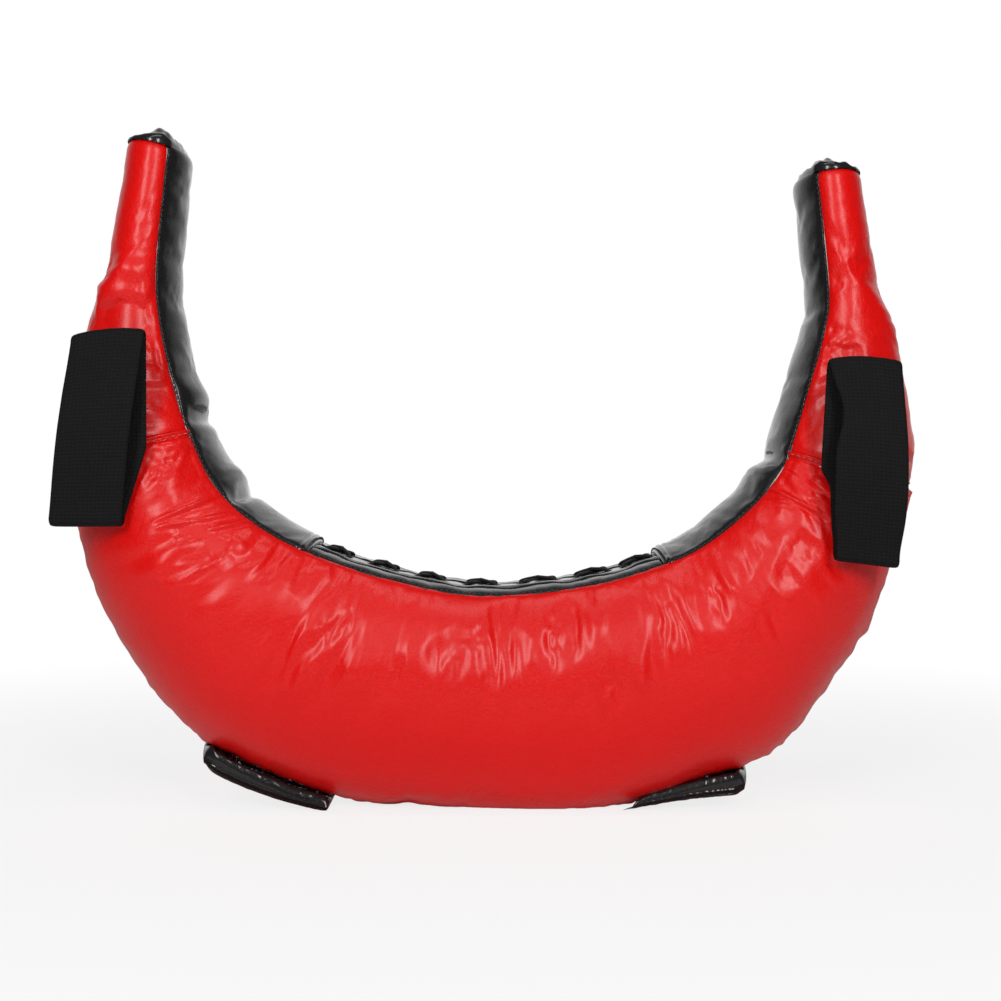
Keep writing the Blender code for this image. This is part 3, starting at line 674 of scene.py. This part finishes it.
LACE_SIDES = 12
LACE_STEPS = 6
half, row, lean = CROSS_LENGTH / 2, HOLE_ROW, LACE_WIDTH * 0.4
over = -(LACE_WIDTH / 2 + GAP)
high = over - LACE_WIDTH * 0.7
under = SKIN_THICKNESS + GAP + LACE_WIDTH / 2
in_hole = SKIN_THICKNESS / 2
one_cross = np.array((
    (-half - lean, -row, under),
    (-half, -row, in_hole),
    (-half + lean, -row + lean, over),
    (0, 0, over),
    (half - lean, row - lean, over),
    (half, row, in_hole),
    (half - lean, row, under),
    (-half + lean, row, under),
    (-half, row, in_hole),
    (-half + lean, row - lean, over),
    (-lean, lean, high),
    (lean, -lean, high),
    (half - lean, -row + lean, over),
    (half, -row, in_hole),
    (half + lean, -row, under),
))
route = np.concatenate([lacing_point(np.full(len(one_cross), u), *one_cross.T) for u in CROSSES])
path = cubic(route, np.linspace(0, len(route) - 1, (len(route) - 1) * LACE_STEPS + 1))
run = travel(path[:, None], 0)
turned = np.linspace(0, 1, LACE_SIDES)[None, :] + 0 * run
lace_cord = woven("lace_cord", grey(0.006), grey(0.035), across=0.0005, along=0.0007, rough=0.5, depth=0.0001)
lace_map = np.stack((turned * 0.008, run + turned * 0.0014), axis=-1)
lace = new_piece("lace_braid", tube(path, LACE_WIDTH / 2, LACE_SIDES), lace_cord, uv=lace_map, ring=True)
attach(lace, "bag")
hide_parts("lace")


# The caps: a round of black leather over the end of each horn, sewn on round its rim, where it puckers.
def cap(name, tip, inward, crown, seed):
    """Rings of the horn's own outline that shrink to the middle as they rise over a low uneven dome."""
    half_turn = np.linspace(0, 1, 40)
    u = np.full_like(half_turn, tip)
    share = np.linspace(1, -1, 22)[1:-1]
    inner = place(u[: len(share)], -GUSSET_CROWN * (1 - share**2), section(u)[4][0] * share)
    rim = np.concatenate((skin(u, half_turn, FRONT), skin(u, half_turn[::-1], BACK)[1:], inner))
    middle = rim.mean(axis=0)
    before, at_tip = skin(np.array((tip + inward, tip)), 0.5, FRONT)
    rise = (at_tip - before) * (1, 0, 1)
    rise /= np.linalg.norm(rise)
    around = travel(rim[:, None], 0)[:, 0]
    angle = np.linspace(-0.10, math.pi / 2, 40)[:, None]
    shrink = np.cos(np.maximum(angle, 0)) + 0.025 * np.cos(angle * 2)
    from_inner = np.linalg.norm((rim - rim[-len(share) // 2]) * (1, 0, 1), axis=1) / 0.032
    ridge = 0.22 + 0.78 * bell(from_inner - 0.2, 0.42)
    lift = crown * (np.sin(np.maximum(angle, 0)) ** 0.8 * ridge + 0.6 * np.minimum(angle, 0))
    flat = middle + (rim - middle) * shrink[..., None]
    gathered = 0.0030 * folds(flat[..., 0] / 0.011, flat[..., 1] / 0.016, seed)
    gathered += 0.0012 * swell(around[None, :] / 0.006, angle * 2 + 0 * around, seed + 1) * np.cos(angle) ** 2
    bulge = gathered * (1 - bell(np.maximum(angle, 0), 0.25))
    points = flat + rise * (lift + bulge)[..., None]
    points[-1] = points[-1].mean(axis=0)
    piece = new_piece(name + "_skin", points, black_leather, ring=True)
    merge = bmesh.new()
    merge.from_mesh(piece.data)
    bmesh.ops.remove_doubles(merge, verts=merge.verts, dist=1e-6)
    bmesh.ops.recalc_face_normals(merge, faces=merge.faces)
    merge.to_mesh(piece.data)
    merge.free()
    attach(piece, "bag")
    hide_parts(name)


cap("left_end_cap", LEFT_TIP, 0.5, 0.0110, 161)
cap("right_end_cap", RIGHT_TIP, -0.5, 0.0095, 171)


# The hand loops: one band of black ribbed elastic webbing each side, closed into a ring whose back is
# sewn into the seam between horn and belly. The front stands off in a long shallow bow.
WEBBING_WIDTH = 0.042
WEBBING_THICKNESS = 0.0024
WEBBING_FOLD = 0.0036
STANDOFF = 0.057
ROOT_GAP = 0.0009
LEFT_STRAP, RIGHT_STRAP = 0.58, 0.46
webbing = woven("webbing", grey(0.002), grey(0.009), across=0.0024, along=0.0021, rough=0.8, depth=0.0003)


def webbing_section():
    """The band cut across, two flat faces with rounded selvedges: distances across and off its middle."""
    across = np.sin(np.linspace(-0.5, 0.5, 18) * math.pi)
    off = np.sqrt(1 - np.abs(across) ** 16)
    across = np.concatenate((across, across[-2:0:-1])) * WEBBING_WIDTH / 2
    return across, np.concatenate((off, -off[-2:0:-1])) * WEBBING_THICKNESS / 2


def hand_loop(
    side, seam, seam_share, slide, below, above, bow, front_lean,
    back_lean=0, top_tilt=0, bottom_tilt=0, nip=0, squeeze=0, back_slide=0,
):
    """A ring of webbing: up the back, over a soft fold, down the bowed front and round a second fold.

    The front hangs from the top fold at its own lean, and the lower part of the back runs from the seam
    to meet it. The folds are tilted, so the band is sheared a little between them, and its crown is bent.
    Nip narrows the front's left edge below the crown, and squeeze the whole band at its lower fold.
    """
    seam_place = np.array(float(seam))
    origin = place(seam_place, section(seam_place)[3] * seam_share, -STANDOFF)
    fold, low, high = WEBBING_FOLD, -below, above
    t = np.linspace(0, 1, 70)
    turn = np.linspace(0, math.pi, 16)[1:-1]
    rise = fold * np.sin(turn)
    up = np.concatenate((low + (high - low) * t, high + rise, high - (high - low) * t, low - rise))
    base = WEBBING_THICKNESS / 2
    out = np.concatenate((
        base + 0 * t,
        base + fold * (1 - np.cos(turn)),
        base + 2 * fold + bow * np.sin(math.pi * t) ** 1.3,
        base + fold * (1 + np.cos(turn)),
    ))
    top_x = high * math.tan(back_lean)
    bottom_x = top_x - (high - low) * math.tan(front_lean)
    back_up = up[: len(t)]
    back_x = np.where(back_up > 0, back_up * math.tan(back_lean), bottom_x * np.clip(back_up / low, 0, 1))
    x = np.concatenate((back_x, top_x + 0 * turn, top_x + (bottom_x - top_x) * t, bottom_x + 0 * turn))
    tilt = top_tilt + (bottom_tilt - top_tilt) * (high - up.clip(low, high)) / (high - low)
    apart = np.where(up > 0, 1 - up / high, bell(up, 0.008))
    x = x + slide + back_slide * (out < base + fold) * apart
    centre = origin + np.stack((x, -out, up), axis=-1)
    beside = np.stack((np.cos(tilt), 0 * tilt, -np.sin(tilt)), axis=-1)
    run = np.roll(centre, -1, axis=0) - np.roll(centre, 1, axis=0)
    off = np.cross(run, beside)
    off /= np.linalg.norm(off, axis=1, keepdims=True)
    width, thick = webbing_section()
    narrow = np.concatenate((0 * back_x, 0 * turn, nip * bell(t - 0.24, 0.16), 0 * turn))
    width = width[None, :] + narrow[:, None] * (width < 0) * 4 * (width / WEBBING_WIDTH) ** 2
    width = width * (1 - squeeze * bell((up - low).clip(0), 0.018))[:, None]
    points = centre[:, None] + beside[:, None] * width[..., None] + off[:, None] * thick[None, :, None]
    along = travel(centre[:, None], 0)
    wave = 0.0003 * swell(along / 0.02, width / 0.02, 180 + seam)
    points = points + off[:, None] * wave[..., None]
    level = ((up - low) / (high - low)).clip(0, 1)[:, None]
    points[..., 2] += 0.0022 * (1 - (2 * width / WEBBING_WIDTH) ** 2) * level**3 - 0.0010
    uv = np.stack((width, along + 0 * width), axis=-1)
    piece = new_piece(side + "_hand_loop", points, webbing, uv=uv, ring=True, rows_closed=True)
    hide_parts(side + "_strap_back", side + "_strap_front")
    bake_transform(piece)


hand_loop(
    "left", LEFT_SEAM, LEFT_STRAP, slide=0.0065, below=0.040, above=0.063, bow=0.005,
    front_lean=math.radians(7), top_tilt=math.radians(-5),
)
hand_loop(
    "right", RIGHT_SEAM, RIGHT_STRAP, slide=0.0038, below=0.050, above=0.059, bow=0.011,
    front_lean=math.radians(-0.5), back_lean=math.radians(-2.5), top_tilt=math.radians(1.5),
    bottom_tilt=math.radians(7), nip=0.006, squeeze=0.12, back_slide=-0.006,
)


# The roots of the loops: the band's two ends, laid on each other and sewn into the seam, come straight
# out of it as a stiff double tongue.
def strap_root(side, seam, seam_share):
    """A flat bar from under the skin to just short of the loop: each ring goes out and back round it."""
    seam_place = np.array(float(seam))
    *_, across, length, _, half_depth, radius = section(seam_place)
    middle = length - radius
    share = np.linspace(-1, 1, 30)
    along = length * seam_share + share * (WEBBING_WIDTH - WEBBING_THICKNESS) / 2
    root = -(half_depth - SKIN_THICKNESS) * np.sin(np.arccos((along - middle) / (radius - SKIN_THICKNESS)))
    reach = np.concatenate((np.linspace(0, 1, 12), np.linspace(1, 0, 12)))
    thick = np.repeat((1, -1), 12) * WEBBING_THICKNESS * (1 - 0.4 * (reach > 0.98))
    thick = thick[None, :] * np.sqrt(1 - share**18)[:, None]
    y = root[:, None] + (ROOT_GAP - STANDOFF - root)[:, None] * reach[None, :]
    along = along[:, None] + 0 * y
    points = place(seam_place, along, y) + np.array((-across[1], 0, across[0])) * thick[..., None]
    uv = np.stack((along, y + MID_Y), axis=-1)
    piece = new_piece(side + "_strap_root", points, webbing, uv=uv, ring=True)
    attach(piece, "bag")
    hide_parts(side + "_strap_tab")


strap_root("left", LEFT_SEAM, LEFT_STRAP)
strap_root("right", RIGHT_SEAM, RIGHT_STRAP)


# The grips: a sleeve of black leather folded over a foam core, stitched along its free edge into a flat
# flange, and sewn by its other edge to the bag's outer seam. It tapers towards the middle of the bag.
GRIP_LENGTH = 0.085
GRIP_WIDTH = 0.030
GRIP_THICKNESS = 0.009
GRIP_STITCH = 0.0252
GRIP_SHIFT = 0.008
# share of the reach, then share of the thickness
GRIP_PROFILE = np.array(((0, 0.3), (0.2, 0.72), (0.42, 1), (0.6, 0.95), (0.76, 0.5), (0.84, 0.26), (1, 0.24)))


def grip(side, inner_place, outer_place, skew, seed):
    """A wedge: its profile of half thickness over its reach is carried along the outer seam and turned down.

    Its upper face is padded out towards the belly. The leather is gathered at the outer end, and the
    flange has a sunk stitched line, which is given back.
    """
    share = np.linspace(-0.03, 1.02, 150)
    inside = np.clip(share, 0, 1)
    u = inner_place + (outer_place - inner_place) * inside
    taper = 0.4 + 0.6 * inside
    root = place(u, section(u)[3] + LIFT + GRIP_THICKNESS / 2 * GRIP_PROFILE[0, 1] * taper, 0)
    line = (root[-1] - root[0]) / np.linalg.norm(root[-1] - root[0])
    ahead = np.array((0, -1, 0))
    down = np.cross(line, ahead)
    down *= -np.sign(down[2])
    reach = (1 - np.cos(np.linspace(0, math.pi, 60))) / 2
    reach = 0.35 * reach + 0.65 * np.linspace(0, 1, 60)
    fine = np.linspace(0, 1, 300)
    level = np.interp(fine, *GRIP_PROFILE.T)
    for _ in range(3):
        level = np.convolve(np.pad(level, 7, mode="edge"), np.ones(15) / 15, mode="valid")
    half = GRIP_THICKNESS / 2 * np.interp(reach, fine, level)[None, :] * taper[:, None]
    run, over = share[:, None] * GRIP_LENGTH, reach[None, :] * GRIP_WIDTH
    rounded = 1 - 0.13 * bell(1.02 - share, 0.07)[:, None, None]
    puffed = np.sin(math.pi * np.clip(reach / 0.8, 0, 1))[None, :]
    gathered = 0.4 + inside[:, None] ** 3
    pinched = (over > 0.004) * (1 - share[:, None] ** 2 / 2)
    wrinkles = 0.0034 * puffed * folds(run / 0.011, over / 0.02, seed) * gathered
    wrinkles += 0.0008 * folds(run / 0.007, over / 0.009, seed + 2) * pinched
    wrinkles += 0.0010 * puffed * swell(run / 0.02, over / 0.012, seed + 1)
    stitched = 0.0009 * bell(over - GRIP_STITCH, 0.0008)
    close = np.sqrt(np.clip(1 - ((np.abs(share - 0.495) / 0.525) ** 16), 0, 1))[:, None]
    brim = np.sqrt(np.clip(1 - reach**40, 0, 1))[None, :]
    drop = np.radians(9 + 15 * inside)[:, None]
    *_, half_depth, radius = section(u)
    rise = radius[:, None] * (1 - np.sqrt(1 - (over * np.cos(drop) / half_depth[:, None]) ** 2))
    room = np.clip(rise + over * np.sin(drop) - half - 0.0012, 0, 0.006 + 0.003 * inside[:, None])
    front = np.sqrt(1 - np.clip((reach - 0.45) / 0.40, 0, 1) ** 2)[None, :]
    half = (half + wrinkles - stitched) * close * brim
    upper = half + (room * front - 0.2 * wrinkles) * close
    drop = drop[..., None]
    hang = ahead * np.cos(drop) + down * np.sin(drop)
    face = down * np.cos(drop) - ahead * np.sin(drop)
    slide = line * (1, 0, 0) * (skew * (inside - 1) - GRIP_SHIFT * inside)[:, None]
    start = root + line * ((share - inside) * GRIP_LENGTH)[:, None]
    middle = start[:, None] + hang * over[..., None] * rounded + slide[:, None] * reach[None, :, None] ** 1.5
    underside = middle + face * half[..., None]
    points = np.concatenate((middle - face * upper[..., None], underside[:, ::-1]), axis=1)
    points[..., 2] = np.maximum(points[..., 2], FLOOR_CLEARANCE)
    piece = new_piece(side + "_grip_sleeve", points, black_leather, ring=True)
    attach(piece, side + "_grip")
    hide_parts(side + "_grip_cover")
    stitch_line = int(np.argmin(np.abs(over[0] - GRIP_STITCH)))
    return (middle - face * (upper[..., None] + 0.0001))[8:-8, stitch_line], -face[8:-8, 0]


left_grip_line = grip("left", 8.0, 7.15, 0, 191)
right_grip_line = grip("right", 10.6, 11.5, 0.029, 201)


# The thread: every seam is lock-stitched with bonded nylon, black on the leather's edges and red where
# the belly is stitched over the horns. Each visible stitch is a short bead sunk at both ends.
def thread(name, colour):
    """Nylon thread: darker between its fibres, which is painted shade in the gaps the bump sinks."""
    material, shader, make = new_material(name, roughness=0.35)
    fibre = make.noise(make.node("ShaderNodeTexCoord", output=3), 2500, 2)
    # painted shade: the fibre noise darkens the colour where it also sinks the bump, in the gaps between
    # fibres
    dark = tuple(0.6 * level for level in colour[:3]) + (1,)
    feed(shader, fibre.mix(dark, colour), "Base Color")
    feed(shader, fibre.bump(0.00015), "Normal")
    return material


black_thread = thread("black_thread", (0.028, 0.028, 0.029, 1))
red_thread = thread("red_thread", (0.85, 0.10, 0.09, 1))


def stitches(name, line, outward, kind, material=black_thread, body="bag"):
    """Beads at an even pitch along a line, each a bent tube, thickest in the middle, sunk at both ends."""
    pitch, length, radius = kind
    run = travel(line[:, None], 0)[:, 0]
    steps = np.arange(pitch / 2, run[-1], pitch)

    def at(values, shift=0):
        return np.stack([np.interp(steps + shift, run, values[:, k]) for k in range(3)], axis=-1)

    centre, up = at(line), at(outward)
    ahead = at(line, pitch / 3) - at(line, -pitch / 3)
    ahead /= np.linalg.norm(ahead, axis=1, keepdims=True)
    up -= ahead * (up * ahead).sum(axis=1, keepdims=True)
    up /= np.linalg.norm(up, axis=1, keepdims=True)
    beside = np.cross(ahead, up)
    part = np.linspace(-1, 1, 5)
    girth = np.sqrt(1 - part**2 * 0.98) * radius
    angle = np.linspace(0, 2 * math.pi, 6, endpoint=False)
    x = (part * length / 2)[:, None] + 0 * angle
    y = girth[:, None] * np.cos(angle)
    z = girth[:, None] * np.sin(angle) + radius * (0.7 - 1.6 * part**2)[:, None]
    beads = centre[:, None, None] + ahead[:, None, None] * x[..., None]
    beads += beside[:, None, None] * y[..., None]
    beads += up[:, None, None] * z[..., None]
    beads[..., 2] = np.maximum(beads[..., 2], 0)
    quads = grid_quads(np.arange(x.size).reshape(x.shape), ring=True)[:, ::-1]
    quads = quads + x.size * np.arange(len(steps))[:, None, None]
    piece = new_object(name, beads.reshape(-1, 3), quads.reshape(-1, 4), material)
    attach(piece, body)


def edge_line(side, u, down):
    """Points on the plain skin this far below the inner seam, and the skin's normals there."""
    grid = skin(u[:, None], np.linspace(0, 1, 60)[None, :], side)
    step = grid[:, 1] - grid[:, 0]
    line = grid[:, 0] + step * (down / np.linalg.norm(step, axis=1, keepdims=True))
    return line, normals(grid, side)[:, 0]


# each kind of stitch: its pitch, length and radius
EDGE_STITCH = (0.0033, 0.0024, 0.0005)
TOP_STITCH = (0.0040, 0.0031, 0.0004)
FINE_STITCH = (0.0032, 0.0025, 0.00035)
OUTER_STITCH = (0.0036, 0.0032, 0.0009)
JOIN_STITCH = (0.0032, 0.0026, 0.0006)
TOP_STITCH_LINE = 0.0035
# each length of the seams, and how deep the outer stitches are sunk in it
SEAM_LENGTHS = (
    ("left_horn", LEFT_TIP + 0.05, LEFT_SEAM, 0.0002),
    ("belly", LEFT_SEAM, RIGHT_SEAM, 0.0007),
    ("right_horn", RIGHT_SEAM, RIGHT_TIP - 0.05, 0.0002),
)
for side, word in ((FRONT, "front"), (BACK, "back")):
    for part, start, end, _ in SEAM_LENGTHS:
        u, _ = even_places(start, end, 400)
        line, outward = edge_line(side, u, 0.0004)
        stitches(f"{word}_{part}_inner_stitches", line, outward, EDGE_STITCH)
    for horn, seam, step in (("left", LEFT_SEAM, 1), ("right", RIGHT_SEAM, -1)):
        t = np.linspace(0.02, 0.78, 300)
        u = seam + step * TOP_STITCH_LINE * places_per_metre(np.full_like(t, seam))
        pair = skin(u[None, :] + np.array((0, 0.01))[:, None], t[None, :], side)
        outward = normals(pair, side)[0]
        line = pair[0] + outward * 0.0011
        stitches(f"{word}_{horn}_topstitches", line, outward, TOP_STITCH, red_thread)
    u, _ = even_places(LEFT_JOIN, RIGHT_JOIN, 300)
    line = lacing_point(u, 0, side * hem(u), -0.0002)
    outward = np.gradient(line, axis=0) @ np.array(((0, 0, 1), (0, 1, 0), (-1, 0, 0)))
    outward *= np.sign(outward[:, 2:])
    stitches(word + "_placket_stitches", line, outward, FINE_STITCH)

for part, start, end, sunk in SEAM_LENGTHS:
    u, _ = even_places(start, end, 500)
    across = section(u)[2]
    outward = np.stack((across[0], 0 * u, across[1]), axis=-1)
    line = skin(u, 1.0 + 0 * u, FRONT) - outward * sunk
    stitches(part + "_outer_stitches", line, outward, OUTER_STITCH)

for word, seam, step in (("left", LEFT_JOIN, -1), ("right", RIGHT_JOIN, 1)):
    for k, offset in enumerate(JOIN_LINES):
        share = np.linspace(-0.96, 0.96, 200)
        u = seam + step * offset * places_per_metre(np.full_like(share, seam))
        pair = gusset_surface(u[None, :] + np.array((0, 0.01))[:, None], share[None, :])
        outward = normals(pair, BACK)[0]
        line = pair[0] + outward * (GUSSET_PUFF * (1 - share**2) - 0.0005)[:, None]
        stitches(f"{word}_gusset_seam_stitches_{k + 1}", line, outward, JOIN_STITCH)

for word, (line, outward) in (("left", left_grip_line), ("right", right_grip_line)):
    stitches(word + "_grip_stitches", line, outward, FINE_STITCH, body=word + "_grip")


# Inside, never seen: felt padding under the belly's skin, the liner with its closing strip, the sand,
# the horns' packed fibre and the grips' foam. They keep the frame's solids and get plain soft finishes.
# Each row: the material's name, its two colours, its grain's scale, roughness and depth, and its nodes.
for name, dark, light, scale, rough, depth, *nodes in (
    ("padding_felt", (0.4, 0.4, 0.38), (0.6, 0.6, 0.57), 400, 0.9, 0.0005, "padding_front", "padding_back"),
    ("liner_fabric", (0.22, 0.22, 0.20), (0.34, 0.34, 0.32), 1200, 0.8, 0.0002, "liner_bag"),
    ("closure_tape", (0.01, 0.01, 0.01), (0.03, 0.03, 0.03), 1500, 0.75, 0.0003, "liner_closure_strip"),
    ("sand", (0.45, 0.35, 0.21), (0.72, 0.60, 0.42), 1800, 0.95, 0.0008, "sand_fill"),
    (
        "stuffing", (0.33, 0.31, 0.28), (0.52, 0.49, 0.45), 250, 0.95, 0.001,
        "left_horn_stuffing", "right_horn_stuffing",
    ),
    ("foam", (0.35, 0.35, 0.35), (0.55, 0.55, 0.55), 900, 0.9, 0.0004, "left_grip_core", "right_grip_core"),
):
    material, shader, make = new_material(name)
    grain = make.noise(make.node("ShaderNodeTexCoord", output=3), scale, 4, 0.6)
    feed(shader, grain.mix(dark + (1,), light + (1,)), "Base Color")
    feed(shader, rough + (grain - 0.5) * 0.2, "Roughness")
    feed(shader, grain.bump(depth), "Normal")
    for node in nodes:
        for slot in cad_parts[node].material_slots:
            slot.material = material


# The floor and the light: a white studio sweep, a broad lamp above and in front, and two tall ones in
# front to the left and right, so that the film on the leather shows soft bright patches on every swelling.
FLOOR_REACH = 8
floor_material, floor_shader, sweep = new_material("floor", base_color=grey(0.9), roughness=0.9)
seen = sweep.node("ShaderNodeLightPath")
from_middle = sweep.node("ShaderNodeTexCoord", output=3)
away = sweep.node("ShaderNodeVectorMath", {"operation": "LENGTH"}, {0: from_middle}, 1)
glow = sweep.node("ShaderNodeEmission", None, {"Color": grey(1), "Strength": 1})
plain_share = away.eased(0.25, 0.95, 0.8, 1.0)
surface = sweep.node("ShaderNodeMixShader", None, {0: seen * plain_share, 2: glow})
floor_tree = floor_material.node_tree
floor_tree.links.new(floor_shader.outputs[0], surface.socket.node.inputs[1])
floor_tree.links.new(surface.socket, floor_tree.nodes["Material Output"].inputs[0])
corners = [(x * FLOOR_REACH, y * FLOOR_REACH, 0) for x, y in ((-1, -1), (1, -1), (1, 1), (-1, 1))]
floor = new_object("floor", corners, [(0, 1, 2, 3)], floor_material)

# the room is white to the camera, and its light on the bag comes mostly from behind
world = bpy.data.worlds.new("studio")
world.use_nodes = True
bpy.context.scene.world = world
room = Shade(world.node_tree)
seen = room.math("MAXIMUM", room.node("ShaderNodeLightPath"), room.node("ShaderNodeLightPath", output=6))
behind = room.node("ShaderNodeSeparateXYZ", None, {0: room.node("ShaderNodeTexCoord")}, 1)
walls = behind.eased(0.30, 0.97, 0.06, 1.0)
background = world.node_tree.nodes["Background"]
background.inputs["Color"].default_value = grey(1)
strength = walls * (1 - seen) + seen
world.node_tree.links.new(strength.socket, background.inputs["Strength"])


def lamp(name, lamp_place, target, size, power):
    """A rectangular lamp of this width and height in metres that faces its target."""
    light = bpy.data.lights.new(name, "AREA")
    light.shape = "RECTANGLE"
    light.size, light.size_y = size
    light.energy = power
    holder = bpy.data.objects.new(name, light)
    holder.location = lamp_place
    aim = np.array(target) - np.array(lamp_place)
    holder.rotation_euler = (math.atan2(math.hypot(aim[0], aim[1]), -aim[2]), 0, math.atan2(-aim[0], aim[1]))
    bpy.context.scene.collection.objects.link(holder)


lamp("overhead", (0, -0.55, 1.40), (0, 0, 0.10), (0.90, 0.30), 3.5)
for name, x in (("left_front", -0.52), ("right_front", 0.52)):
    lamp(name, (x, -1.40, 0.85), (0, 0, 0.15), (0.28, 0.60), 9)

bpy.context.scene.view_settings.view_transform = "Standard"
